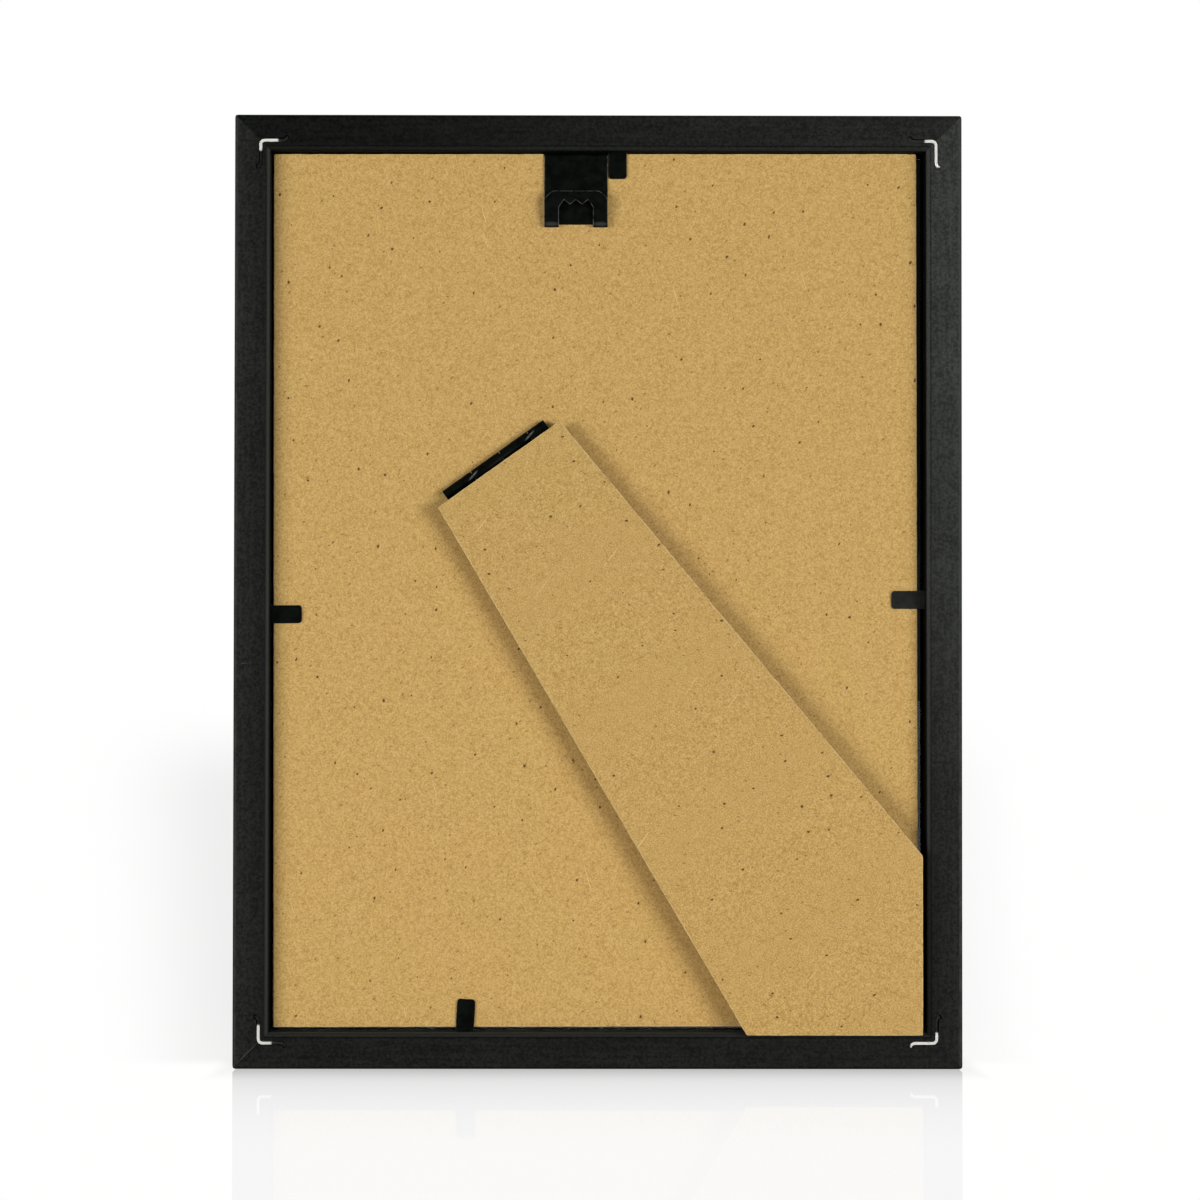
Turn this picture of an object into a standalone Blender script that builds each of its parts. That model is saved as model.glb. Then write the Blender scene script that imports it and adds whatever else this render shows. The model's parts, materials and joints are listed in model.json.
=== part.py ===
"""Picture frame for a wall or a table: mitred moulding, glass, insert, fibreboard back,
toothed hanger clip, bendable retaining tabs and an easel leg on a strip hinge.

Metres, +Z up. The front faces -Y and the back +Y. The origin is the middle of the
bottom rail's underside, so the frame stands on the XY plane.
"""

import math

import bmesh
import bpy
from mathutils import Matrix, Vector

# Moulding
FRAME_WIDTH = 0.200
FRAME_HEIGHT = 0.262
RAIL_DEPTH = 0.014
RAIL_WALL = 0.0099  # outer face to rebate wall
LIP_COVER = 0.0046  # how far the front lip reaches over the glass
LIP_THICKNESS = 0.0035
EDGE_RADIUS = 0.0009  # long outer edges
REBATE_ROUND = 0.0012  # width of the rounded rear edge of the rebate
REBATE_TURN = 55.0  # how far that edge turns before the wall
REBATE_STEP = 0.0001  # where the film of the back ends
SIGHT_BEVEL = 0.0012  # front edge of the lip, round the picture
CORNER_RADIUS = 0.0010  # outer corners of the frame
MITRE_GAP = 0.0001

# Sheets in the rebate
GLASS_THICKNESS = 0.0020
INSERT_THICKNESS = 0.0004
BOARD_THICKNESS = 0.0026
GLASS_PLAY = 0.0006  # glass and insert to the rebate walls
BOARD_PLAY_LEFT = 0.00215  # board to the rebate walls, seen from the front
BOARD_PLAY_RIGHT = 0.00075
BOARD_PLAY_TOP = 0.00035
BOARD_PLAY_BOTTOM = 0.0014
BOARD_TURN = 0.1  # how far it lies turned in that play
SHEET_BEVEL = 0.0002
CONTACT = 0.00015  # between pieces that rest on each other

# Corner nails
NAIL_INSET = 0.0071  # apex to both outer faces
NAIL_WING = 0.0059  # apex to the start of the lip
NAIL_BEND = 0.0011  # radius at the apex
NAIL_LIP_RADIUS = 0.0015
NAIL_LIP_TURN = 75.0
NAIL_SHEET = 0.0008
NAIL_DEPTH = 0.0100
NAIL_SUNK = 0.0002  # below the back of the rails
NAIL_FIT = 0.00015

# Retaining tabs: place along the rail from its middle (right or up seen from behind),
# reach over the board from the rebate wall, and lean in the board's plane
TAB_WIDTH = 0.0050
TAB_SHEET = 0.00045
TAB_EMBED = 0.0060
TAB_BEND = 0.0013  # rebate wall to the bend
TAB_CORNER = 0.0010
TAB_POINT = 0.0016  # cut-off corners of the driven end
TAB_FIT = 0.00012
TAB_BEND_GAP = 0.00012  # between the two halves at the bend
TAB_HANGER_GAP = 0.0002
TAB_RIGHT = {"along": -0.0065, "reach": 0.0086, "lean": 0.6}
TAB_LEFT = {"along": -0.0023, "reach": 0.0093, "lean": 0.0}
TAB_BOTTOM = {"along": -0.0365, "reach": 0.0090, "lean": -3.0}
TAB_TOP = {"reach": 0.0073, "lean": 0.8}

# Hanger clip
HANGER_OFFSET = 0.0062  # middle of the frame to the clip's middle, to the left seen from behind
HANGER_WIDTH = 0.0175
HANGER_SHEET = 0.0005
HANGER_FLANGE = 0.0080  # in front of the board
HANGER_NOTCH = 0.0006  # recess in the board's top edge
HANGER_SIDE_PLAY = 0.0002
HANGER_DROP = 0.0204  # board's top edge to the lowest point of the clip
HANGER_BEND = 0.0006
HANGER_FOLD = 0.0007
HANGER_ARCH = 0.0099  # height of the arch
HANGER_TILT = 9.0
HANGER_CORNER = 0.0026
HANGER_CORNER_FORM = 0.37  # between straight and round
HANGER_WINDOW = 0.0094
HANGER_SHOULDER = 0.0045  # arch top to the window's shoulders
NOTCH_COUNT = 3
NOTCH_PITCH = 0.0033
NOTCH_DEPTH = 0.0013
NOTCH_BAR = 0.0025  # metal left above the notches

# Strip hinge
HINGE_LENGTH = 0.0340
HINGE_LEAN = 35.5  # hinge line above the horizontal
HINGE_REACH = 0.1963  # hinge line to the foot's corner
HINGE_SHEET = 0.0005
LEAF_WIDTH = 0.0130
KNUCKLE_PITCH = 0.0095
KNUCKLE_GAP = 0.0002
KNUCKLE_CURL = 265.0
PIN_RADIUS = 0.0008
PIN_PLAY = 0.00015
PIN_SHORT = 0.0003  # inside the barrel's ends
PRONG_WIDTH = 0.0030
PRONG_BITE = 0.0019
PRONG_INSET = 0.0060  # hinge end to the prong's middle
PRONG_FIT = 0.00015

# Easel leg
LEG_THICKNESS = 0.0026
LEG_TOP_WIDTH = 0.0409
LEG_FLARE_LEFT = 5.1  # sides against the middle line, seen from behind
LEG_FLARE_RIGHT = 4.4
LEG_TOP_GAP = 0.00025  # barrel to the leg's top edge
LEG_FOOT_SIDE = 0.0012  # foot's side edge inside the rebate wall
LEG_FOOT_OVER = 0.0004  # foot's bottom edge past the rebate wall, over the rail
LEG_FOOT_OFFSET = 0.0039  # foot's corner to the leg's middle line
LEG_REST = 0.6  # how far the folded leg stands open, its foot just clear of the rail
LEG_BEVEL = 0.0002

ROUND_STEPS = 4
PIN_SIDES = 24
CURL_STEP = 15.0
CUT_MARGIN = 0.001

# Levels through the depth, front to back
FRONT = -RAIL_DEPTH / 2
BACK = RAIL_DEPTH / 2
GLASS_FRONT = FRONT + LIP_THICKNESS + CONTACT
INSERT_FRONT = GLASS_FRONT + GLASS_THICKNESS + CONTACT
FLANGE_FRONT = INSERT_FRONT + INSERT_THICKNESS + CONTACT
BOARD_FRONT = FLANGE_FRONT + HANGER_SHEET + CONTACT
BOARD_BACK = BOARD_FRONT + BOARD_THICKNESS
TAB_LEVEL = BOARD_BACK + CONTACT + TAB_SHEET / 2

# Rebate and board, seen from behind: right is -X
REBATE_RIGHT = FRAME_WIDTH / 2 - RAIL_WALL
REBATE_TOP = FRAME_HEIGHT - RAIL_WALL
BOARD_RIGHT = REBATE_RIGHT - BOARD_PLAY_LEFT
BOARD_LEFT = BOARD_PLAY_RIGHT - REBATE_RIGHT
BOARD_TOP = REBATE_TOP - BOARD_PLAY_TOP
BOARD_BOTTOM = RAIL_WALL + BOARD_PLAY_BOTTOM
HANGER_SEAT = BOARD_TOP - HANGER_NOTCH

# Hinge line
CURL_RADIUS = PIN_RADIUS + PIN_PLAY + HINGE_SHEET / 2
BARREL_RADIUS = CURL_RADIUS + HINGE_SHEET / 2
PIN_LEVEL = BOARD_BACK + CONTACT + BARREL_RADIUS
LEG_TOP = BARREL_RADIUS + LEG_TOP_GAP
LEG_LEVEL = BARREL_RADIUS + CONTACT
SLOT_EDGE = BARREL_RADIUS + KNUCKLE_GAP

BACK_VIEW = Matrix(((-1, 0, 0, 0), (0, 0, 1, 0), (0, 1, 0, 0), (0, 0, 0, 1)))

RAIL_BLACK = (0.013, 0.013, 0.012)
STEEL_BLACK = (0.016, 0.015, 0.014)
ZINC = (0.70, 0.70, 0.68)
FIBREBOARD = (0.57, 0.38, 0.15)
PAPER_WHITE = (0.86, 0.86, 0.84)
GLASS_TINT = (0.90, 0.96, 0.94)


def clear_scene():
    for thing in list(bpy.data.objects):
        bpy.data.objects.remove(thing)


def flat(point, height):
    return Vector((point[0], point[1], height))


def upright(point, height):
    return Vector((point[0], height, point[1]))


def arc(centre, radius, first, last, steps):
    """Points on a circle, from one angle to another in degrees."""
    points = []
    for step in range(steps + 1):
        turn = math.radians(first + (last - first) * step / steps)
        points.append((centre[0] + radius * math.cos(turn), centre[1] + radius * math.sin(turn)))
    return points


def rectangle(left, right, bottom, top):
    return [(left, bottom), (right, bottom), (right, top), (left, top)]


def extruded(outline, low, high, lift=flat):
    """A closed solid of an outline, from one height to another."""
    shape = bmesh.new()
    corners = [shape.verts.new(lift(point, low)) for point in outline]
    base = shape.faces.new(corners)
    raised = bmesh.ops.extrude_face_region(shape, geom=[base])["geom"]
    tops = [item for item in raised if isinstance(item, bmesh.types.BMVert)]
    bmesh.ops.translate(shape, verts=tops, vec=lift((0, 0), high) - lift((0, 0), low))
    bmesh.ops.recalc_face_normals(shape, faces=shape.faces)
    return shape


def ribbon(path, low, high):
    """An open sheet along a path in the local XZ plane, as wide as low to high."""
    shape = bmesh.new()
    points = [shape.verts.new(upright(point, low)) for point in path]
    edges = [shape.edges.new(pair) for pair in zip(points, points[1:])]
    widened = bmesh.ops.extrude_edge_only(shape, edges=edges)["geom"]
    far = [item for item in widened if isinstance(item, bmesh.types.BMVert)]
    bmesh.ops.translate(shape, verts=far, vec=(0, high - low, 0))
    bmesh.ops.recalc_face_normals(shape, faces=shape.faces)
    return shape


def placed(name, shape, place, parent=None):
    """An object of the shape, at a place in the world or under a parent empty."""
    mesh = bpy.data.meshes.new(name)
    shape.to_mesh(mesh)
    shape.free()
    piece = bpy.data.objects.new(name, mesh)
    bpy.context.scene.collection.objects.link(piece)
    piece.parent = parent
    piece.matrix_local = place
    return piece


def joint_empty(name, place):
    """An empty whose origin is on a joint's axis."""
    empty = bpy.data.objects.new(name, None)
    bpy.context.scene.collection.objects.link(empty)
    empty.matrix_world = place
    return empty


def cutter(name, shape, place, parent=None):
    tool = placed(name, shape, place, parent)
    tool.hide_render = True
    tool.display_type = "WIRE"
    return tool


def combine(piece, tool, operation="DIFFERENCE"):
    boolean = piece.modifiers.new(operation.lower(), "BOOLEAN")
    boolean.operation = operation
    boolean.solver = "EXACT"
    boolean.object = tool


def thicken(piece, thickness):
    solidify = piece.modifiers.new("sheet", "SOLIDIFY")
    solidify.thickness = thickness
    solidify.offset = 0
    solidify.use_even_offset = True


def soften_edges(piece, width):
    bevel = piece.modifiers.new("edges", "BEVEL")
    bevel.width = width
    bevel.segments = 1


def shade_round(piece):
    piece.data.shade_smooth()
    piece.data.set_sharp_from_angle(angle=math.radians(40))


def finish(piece, colour, roughness, metallic=0.0, transmission=0.0):
    material = bpy.data.materials.new(piece.name)
    material.use_nodes = True
    shader = material.node_tree.nodes["Principled BSDF"]
    shader.inputs["Base Color"].default_value = (*colour, 1)
    shader.inputs["Roughness"].default_value = roughness
    shader.inputs["Metallic"].default_value = metallic
    shader.inputs["Transmission Weight"].default_value = transmission
    piece.data.materials.append(material)
    return piece


def side_place(side):
    """Local X runs inwards from the rail's outer face, local Z to the back of the frame."""
    inward = {"bottom": (0, 0, 1), "top": (0, 0, -1), "right": (-1, 0, 0), "left": (1, 0, 0)}[side]
    inward = Vector(inward)
    backward = Vector((0, 1, 0))
    middle = Vector((0, 0, FRAME_HEIGHT / 2))
    half = FRAME_HEIGHT / 2 if inward.z else FRAME_WIDTH / 2
    rotation = Matrix((inward, backward.cross(inward), backward)).transposed()
    return Matrix.Translation(middle - inward * half) @ rotation.to_4x4()


def rail_profile():
    """Section of the moulding: x inwards from the outer face, y through the depth."""
    sight = RAIL_WALL + LIP_COVER
    lip_back = FRONT + LIP_THICKNESS
    profile = arc((EDGE_RADIUS, BACK - EDGE_RADIUS), EDGE_RADIUS, 180, 90, ROUND_STEPS)
    face_end = RAIL_WALL - REBATE_ROUND
    radius = REBATE_ROUND / math.sin(math.radians(REBATE_TURN))
    profile += [(face_end - REBATE_STEP, BACK)]
    profile += arc((face_end, BACK - REBATE_STEP - radius), radius, 90, 90 - REBATE_TURN, ROUND_STEPS)
    profile += [(RAIL_WALL, lip_back), (sight, lip_back)]
    profile += [(sight, FRONT + SIGHT_BEVEL), (sight - SIGHT_BEVEL, FRONT)]
    profile += arc((EDGE_RADIUS, FRONT + EDGE_RADIUS), EDGE_RADIUS, 270, 180, ROUND_STEPS)
    return profile


def slice_off(shape, point, normal):
    """Cuts away what lies past a plane and closes the cut."""
    everything = shape.verts[:] + shape.edges[:] + shape.faces[:]
    cut = bmesh.ops.bisect_plane(
        shape, geom=everything, plane_co=point, plane_no=normal, clear_outer=True)["geom_cut"]
    rim = [item for item in cut if isinstance(item, bmesh.types.BMEdge)]
    bmesh.ops.contextual_create(shape, geom=rim)


def make_rail(side):
    length = FRAME_WIDTH if side in ("bottom", "top") else FRAME_HEIGHT
    shape = extruded(rail_profile(), -length / 2, length / 2, upright)
    mitre_back = MITRE_GAP / math.sqrt(2)
    for end in (-1, 1):
        slice_off(shape, (0, end * (length / 2 - mitre_back), 0), (1, end, 0))
        round_centre = Vector((CORNER_RADIUS, end * (length / 2 - CORNER_RADIUS), 0))
        for step in range(ROUND_STEPS // 2):
            turn = math.radians(45 * (step + 0.5) / (ROUND_STEPS // 2))
            outward = Vector((-math.cos(turn), end * math.sin(turn), 0))
            slice_off(shape, round_centre + outward * CORNER_RADIUS, outward)
    bmesh.ops.recalc_face_normals(shape, faces=shape.faces)
    rail = placed("rail_" + side, shape, side_place(side))
    shade_round(rail)
    return finish(rail, RAIL_BLACK, 0.42)


def nail_path(extra=0.0):
    """Bent strip: apex towards the frame's corner, wings along the rails, lips curled out."""
    turn = NAIL_LIP_TURN + math.degrees(extra / NAIL_LIP_RADIUS)
    apex = arc((NAIL_BEND, NAIL_BEND), NAIL_BEND, 180, 270, ROUND_STEPS)
    lip = arc((NAIL_WING, -NAIL_LIP_RADIUS), NAIL_LIP_RADIUS, 90, 90 - turn, ROUND_STEPS)
    return [(z, x) for x, z in reversed(lip)] + apex + lip


def make_corner_nails(rails):
    """One nail for each corner, turned a quarter from the last, in a slot of both rails."""
    half_width = FRAME_WIDTH / 2 - NAIL_INSET
    half_height = FRAME_HEIGHT / 2 - NAIL_INSET
    corners = (
        ("bottom", "left", -1, -1), ("top", "left", -1, 1),
        ("top", "right", 1, 1), ("bottom", "right", 1, -1))
    for quarter, (level, side, across, up) in enumerate(corners):
        apex = Vector((across * half_width, 0, FRAME_HEIGHT / 2 + up * half_height))
        place = Matrix.Translation(apex) @ Matrix.Rotation(math.radians(90 * quarter), 4, "Y")
        name = "corner_nail_" + level + "_" + side
        top = BACK - NAIL_SUNK
        nail = placed(name, ribbon(nail_path(), top - NAIL_DEPTH, top), place)
        thicken(nail, NAIL_SHEET)
        finish(nail, ZINC, 0.32, 1.0)
        slot_shape = ribbon(nail_path(NAIL_FIT), top - NAIL_DEPTH - NAIL_FIT, BACK + CUT_MARGIN)
        slot = cutter(name + "_slot", slot_shape, place)
        thicken(slot, NAIL_SHEET + 2 * NAIL_FIT)
        combine(rails[level], slot)
        combine(rails[side], slot)


def make_sheet(name, left, right, bottom, top, front, thickness):
    shape = extruded(rectangle(left, right, bottom, top), front, front + thickness)
    return placed(name, shape, BACK_VIEW)


def make_glass_and_insert():
    half = REBATE_RIGHT - GLASS_PLAY
    bottom = RAIL_WALL + CONTACT
    top = REBATE_TOP - 2 * GLASS_PLAY + CONTACT
    glass = make_sheet("glass_pane", -half, half, bottom, top, GLASS_FRONT, GLASS_THICKNESS)
    soften_edges(glass, SHEET_BEVEL)
    finish(glass, GLASS_TINT, 0.03, transmission=1.0)
    insert = make_sheet(
        "insert_sheet", -half, BOARD_RIGHT, BOARD_BOTTOM, top, INSERT_FRONT, INSERT_THICKNESS)
    finish(insert, PAPER_WHITE, 0.85)


def make_board():
    """The board, slightly turned in the rebate, with a recess for the clip in its top edge."""
    middle = Vector(((BOARD_LEFT + BOARD_RIGHT) / 2, (BOARD_BOTTOM + BOARD_TOP) / 2, 0))
    half_width = (BOARD_RIGHT - BOARD_LEFT) / 2
    half_height = (BOARD_TOP - BOARD_BOTTOM) / 2
    outline = rectangle(-half_width, half_width, -half_height, half_height)
    turn = Matrix.Rotation(math.radians(BOARD_TURN), 4, "Z")
    place = BACK_VIEW @ Matrix.Translation(middle) @ turn
    board = placed("backing_board", extruded(outline, BOARD_FRONT, BOARD_BACK), place)
    soften_edges(board, SHEET_BEVEL)
    half_notch = HANGER_WIDTH / 2 + HANGER_SIDE_PLAY
    recess = rectangle(-HANGER_OFFSET - half_notch, half_notch - HANGER_OFFSET, HANGER_SEAT, REBATE_TOP)
    notch = extruded(recess, BOARD_FRONT - CUT_MARGIN, BOARD_BACK + CUT_MARGIN)
    combine(board, cutter("hanger_notch", notch, BACK_VIEW))
    return finish(board, FIBREBOARD, 0.75)


def clip_corners(shape, at, size, steps):
    """Rounds or clips the two corners of a flat end that lies at a local X."""
    ends = [edge for edge in shape.edges if all(abs(v.co.x - at) < SHEET_BEVEL / 10 for v in edge.verts)]
    ends = [edge for edge in ends if abs(edge.verts[0].co.y - edge.verts[1].co.y) < SHEET_BEVEL / 10]
    bmesh.ops.bevel(
        shape, geom=ends, offset=size, segments=steps, profile=0.5, affect="EDGES", clamp_overlap=True)


def tab_blade_shape(reach):
    """Flat strip from the bend, where its end is round, to the tip over the board."""
    half_sheet = TAB_SHEET / 2
    profile = arc((0, 0), half_sheet, 90, 270, ROUND_STEPS) + [(reach, -half_sheet), (reach, half_sheet)]
    shape = extruded(profile, -TAB_WIDTH / 2, TAB_WIDTH / 2, upright)
    clip_corners(shape, reach, TAB_CORNER, ROUND_STEPS)
    return shape


def strip_box(first, last, spare):
    """A straight length of tab strip, larger all round by the spare."""
    half_sheet = TAB_SHEET / 2 + spare
    half_width = TAB_WIDTH / 2 + spare
    return extruded(rectangle(first, last, -half_sheet, half_sheet), -half_width, half_width, upright)


def make_tab(side, rail, along, reach, lean):
    """A strip driven into the rail, and its free half that bends away from the board."""
    sideways = {"bottom": -along, "top": along, "right": along, "left": -along}[side]
    turn = Matrix.Rotation(math.radians(lean), 4, "Z")
    place = side_place(side) @ Matrix.Translation((RAIL_WALL, sideways, TAB_LEVEL)) @ turn
    anchor_end = TAB_BEND - TAB_SHEET / 2 - TAB_BEND_GAP
    anchor_shape = strip_box(-TAB_EMBED, anchor_end, 0)
    clip_corners(anchor_shape, -TAB_EMBED, TAB_POINT, 1)
    finish(placed("tab_anchor_" + side, anchor_shape, place), STEEL_BLACK, 0.4, 0.6)
    slot = cutter("tab_slot_" + side, strip_box(-TAB_EMBED - TAB_FIT, TAB_BEND, TAB_FIT), place)
    combine(rail, slot)
    bend = joint_empty("tab_bend_" + side, place @ Matrix.Translation((TAB_BEND, 0, 0)))
    blade = placed("tab_blade_" + side, tab_blade_shape(reach - TAB_BEND), Matrix.Identity(4), bend)
    finish(blade, STEEL_BLACK, 0.4, 0.6)


def make_tabs(rails):
    make_tab("right", rails["right"], **TAB_RIGHT)
    make_tab("left", rails["left"], **TAB_LEFT)
    make_tab("bottom", rails["bottom"], **TAB_BOTTOM)
    beside_hanger = HANGER_WIDTH / 2 + TAB_HANGER_GAP + TAB_WIDTH / 2 - HANGER_OFFSET
    make_tab("top", rails["top"], along=beside_hanger, **TAB_TOP)


def hanger_path():
    """Side view of the clip: x up, y to the back. Flange, web, plate, fold and arch."""
    flange = FLANGE_FRONT + HANGER_SHEET / 2
    plate = BOARD_BACK + CONTACT + HANGER_SHEET / 2
    web = HANGER_SEAT + CONTACT + HANGER_SHEET / 2
    fold = BOARD_TOP - HANGER_DROP + HANGER_FOLD + HANGER_SHEET / 2
    path = [(BOARD_TOP - HANGER_FLANGE, flange)]
    path += arc((web - HANGER_BEND, flange + HANGER_BEND), HANGER_BEND, -90, 0, ROUND_STEPS)
    path += arc((web - HANGER_BEND, plate - HANGER_BEND), HANGER_BEND, 0, 90, ROUND_STEPS)
    path += arc((fold, plate + HANGER_FOLD), HANGER_FOLD, 270, 90 + HANGER_TILT, 2 * ROUND_STEPS)
    tilt = math.radians(HANGER_TILT)
    run = (BOARD_TOP - HANGER_DROP + HANGER_ARCH - path[-1][0]) / math.cos(tilt)
    path.append((path[-1][0] + run * math.cos(tilt), path[-1][1] + run * math.sin(tilt)))
    return path


def hanger_window():
    """Window outline, x up: open at the bottom, notched along its top for a nail."""
    arch_top = BOARD_TOP - HANGER_DROP + HANGER_ARCH
    shoulder = arch_top - HANGER_SHOULDER
    notch = arch_top - NOTCH_BAR
    below = BOARD_TOP - HANGER_DROP - CUT_MARGIN
    outline = [(below, -HANGER_WINDOW / 2), (shoulder, -HANGER_WINDOW / 2)]
    for step in range(2 * NOTCH_COUNT - 1):
        across = (step - NOTCH_COUNT + 1) * NOTCH_PITCH / 2
        outline.append((notch - NOTCH_DEPTH * (step % 2), across))
    return outline + [(shoulder, HANGER_WINDOW / 2), (below, HANGER_WINDOW / 2)]


def make_hanger():
    place = BACK_VIEW @ Matrix.Translation((-HANGER_OFFSET, 0, 0)) @ Matrix.Rotation(math.radians(90), 4, "Z")
    path = hanger_path()
    shape = ribbon(path, -HANGER_WIDTH / 2, HANGER_WIDTH / 2)
    arch_end = [vert for vert in shape.verts if abs(vert.co.z - path[-1][1]) < SHEET_BEVEL / 10]
    bmesh.ops.bevel(
        shape, geom=arch_end, offset=HANGER_CORNER, segments=ROUND_STEPS, profile=HANGER_CORNER_FORM,
        affect="VERTICES")
    clip = placed("hanger_clip", shape, place)
    thicken(clip, HANGER_SHEET)
    plate_back = BOARD_BACK + CONTACT + HANGER_SHEET
    window = extruded(hanger_window(), plate_back + HANGER_SHEET / 4, BACK)
    combine(clip, cutter("hanger_window", window, place))
    fold = BOARD_TOP - HANGER_DROP + HANGER_FOLD + HANGER_SHEET / 2
    below = BOARD_TOP - HANGER_DROP - CUT_MARGIN
    gap = extruded(rectangle(below, fold, -HANGER_WINDOW / 2, HANGER_WINDOW / 2), BOARD_FRONT, BACK)
    combine(clip, cutter("hanger_fold_gap", gap, place))
    shade_round(clip)
    finish(clip, STEEL_BLACK, 0.38, 0.6)


def hinge_place():
    """Middle of the hinge line: local X to the foot, local Y along the pin, local Z to the back."""
    lean = math.radians(HINGE_LEAN)
    to_foot = Vector((math.sin(lean), -math.cos(lean)))
    along = Vector((math.cos(lean), math.sin(lean)))
    foot = Vector((REBATE_RIGHT - LEG_FOOT_SIDE, RAIL_WALL - LEG_FOOT_OVER))
    middle = foot - to_foot * HINGE_REACH - along * LEG_FOOT_OFFSET
    turn = Matrix.Rotation(lean - math.radians(90), 4, "Z")
    return BACK_VIEW @ Matrix.Translation((middle.x, middle.y, PIN_LEVEL)) @ turn


def leaf_path(side):
    """Plate and curl of a leaf, below the pin (side -1) or above it (side 1)."""
    steps = round(KNUCKLE_CURL / CURL_STEP)
    curl = arc((0, 0), CURL_RADIUS, side * 90, side * (90 + KNUCKLE_CURL), steps)
    return [(LEAF_WIDTH, side * CURL_RADIUS)] + curl


def knuckle_ranges():
    """Knuckles as cut from a longer strip: full ones, and what is left at the far end."""
    edges = [-HINGE_LENGTH / 2]
    while edges[-1] + KNUCKLE_PITCH < HINGE_LENGTH / 2:
        edges.append(edges[-1] + KNUCKLE_PITCH)
    edges.append(HINGE_LENGTH / 2)
    return list(zip(edges, edges[1:]))


def prong_shape(side, spare):
    """Tapered prong from the leaf's plate into the fibreboard."""
    half_width = PRONG_WIDTH / 2 + spare
    half_sheet = HINGE_SHEET / 2 + spare
    root = side * CURL_RADIUS
    tip = side * (BARREL_RADIUS + CONTACT + PRONG_BITE + spare)
    section = rectangle(-half_sheet, half_sheet, -half_width, half_width)
    shape = extruded(section, min(root, tip), max(root, tip))
    ends = [vert for vert in shape.verts if abs(vert.co.z - tip) < SHEET_BEVEL / 10]
    bmesh.ops.scale(shape, verts=ends, vec=(1, 0.4, 1))
    return shape


def make_leaf(name, side, parent, place, carrier):
    """A hinge leaf with every other knuckle, pinned to its carrier by two prongs."""
    leaf = placed(name, ribbon(leaf_path(side), -HINGE_LENGTH / 2, HINGE_LENGTH / 2), place, parent)
    thicken(leaf, HINGE_SHEET)
    first_taken = 1 if side < 0 else 0
    reach = BARREL_RADIUS + CUT_MARGIN
    for number, (low, high) in enumerate(knuckle_ranges()):
        if number % 2 != first_taken:
            continue
        low = low - (KNUCKLE_GAP / 2 if number else CUT_MARGIN)
        last = high >= HINGE_LENGTH / 2
        high = high + (CUT_MARGIN if last else KNUCKLE_GAP / 2)
        slot = extruded(rectangle(-reach, SLOT_EDGE, low, high), -reach, reach)
        combine(leaf, cutter(name + "_slot_" + str(number), slot, place, parent))
    for number, across in enumerate((PRONG_INSET - HINGE_LENGTH / 2, HINGE_LENGTH / 2 - PRONG_INSET)):
        spot = place @ Matrix.Translation((LEAF_WIDTH - PRONG_WIDTH / 2, across, 0))
        prong = cutter(name + "_prong_" + str(number), prong_shape(side, 0), spot, parent)
        combine(leaf, prong, "UNION")
        hole = cutter(name + "_hole_" + str(number), prong_shape(side, PRONG_FIT), spot, parent)
        combine(carrier, hole)
    shade_round(leaf)
    finish(leaf, STEEL_BLACK, 0.38, 0.6)


def make_pin(place):
    shape = bmesh.new()
    length = HINGE_LENGTH - 2 * PIN_SHORT
    bmesh.ops.create_cone(
        shape, cap_ends=True, segments=PIN_SIDES, radius1=PIN_RADIUS, radius2=PIN_RADIUS, depth=length)
    pin = placed("hinge_pin", shape, place @ Matrix.Rotation(math.radians(90), 4, "X"))
    shade_round(pin)
    finish(pin, STEEL_BLACK, 0.35, 0.6)


def leg_outline():
    """Flared strut whose foot is cut along the frame's bottom and side directions."""
    lean = math.radians(HINGE_LEAN)
    flare_left = math.tan(math.radians(LEG_FLARE_LEFT))
    flare_right = math.tan(math.radians(LEG_FLARE_RIGHT))
    left_at_foot = LEG_TOP_WIDTH / 2 + (HINGE_REACH - LEG_TOP) * flare_left
    right_at_foot = LEG_TOP_WIDTH / 2 + (HINGE_REACH - LEG_TOP) * flare_right
    foot = Vector((HINGE_REACH, LEG_FOOT_OFFSET))
    bottom_run = (left_at_foot + LEG_FOOT_OFFSET) / (math.cos(lean) + math.sin(lean) * flare_left)
    side_run = (right_at_foot - LEG_FOOT_OFFSET) / (math.sin(lean) + math.cos(lean) * flare_right)
    bottom_corner = foot - bottom_run * Vector((math.sin(lean), math.cos(lean)))
    side_corner = foot + side_run * Vector((-math.cos(lean), math.sin(lean)))
    half_top = LEG_TOP_WIDTH / 2
    return [(LEG_TOP, -half_top), bottom_corner, foot, side_corner, (LEG_TOP, half_top)]


def make_leg(swing):
    shape = extruded(leg_outline(), LEG_LEVEL, LEG_LEVEL + LEG_THICKNESS)
    leg = placed("easel_leg", shape, Matrix.Identity(4), swing)
    soften_edges(leg, LEG_BEVEL)
    return finish(leg, FIBREBOARD, 0.75)


def make_frame():
    clear_scene()
    rails = {side: make_rail(side) for side in ("bottom", "top", "left", "right")}
    make_corner_nails(rails)
    make_glass_and_insert()
    board = make_board()
    make_hanger()
    make_tabs(rails)
    hinge = hinge_place()
    swing = joint_empty("leg_swing", hinge @ Matrix.Rotation(math.radians(-LEG_REST), 4, "Y"))
    leg = make_leg(swing)
    make_leaf("hinge_board_leaf", -1, None, hinge, board)
    make_leaf("hinge_leg_leaf", 1, swing, Matrix.Identity(4), leg)
    make_pin(hinge)


make_frame()
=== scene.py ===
import json
import math

import bmesh
import bpy
from mathutils import Matrix, Vector, noise


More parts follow.
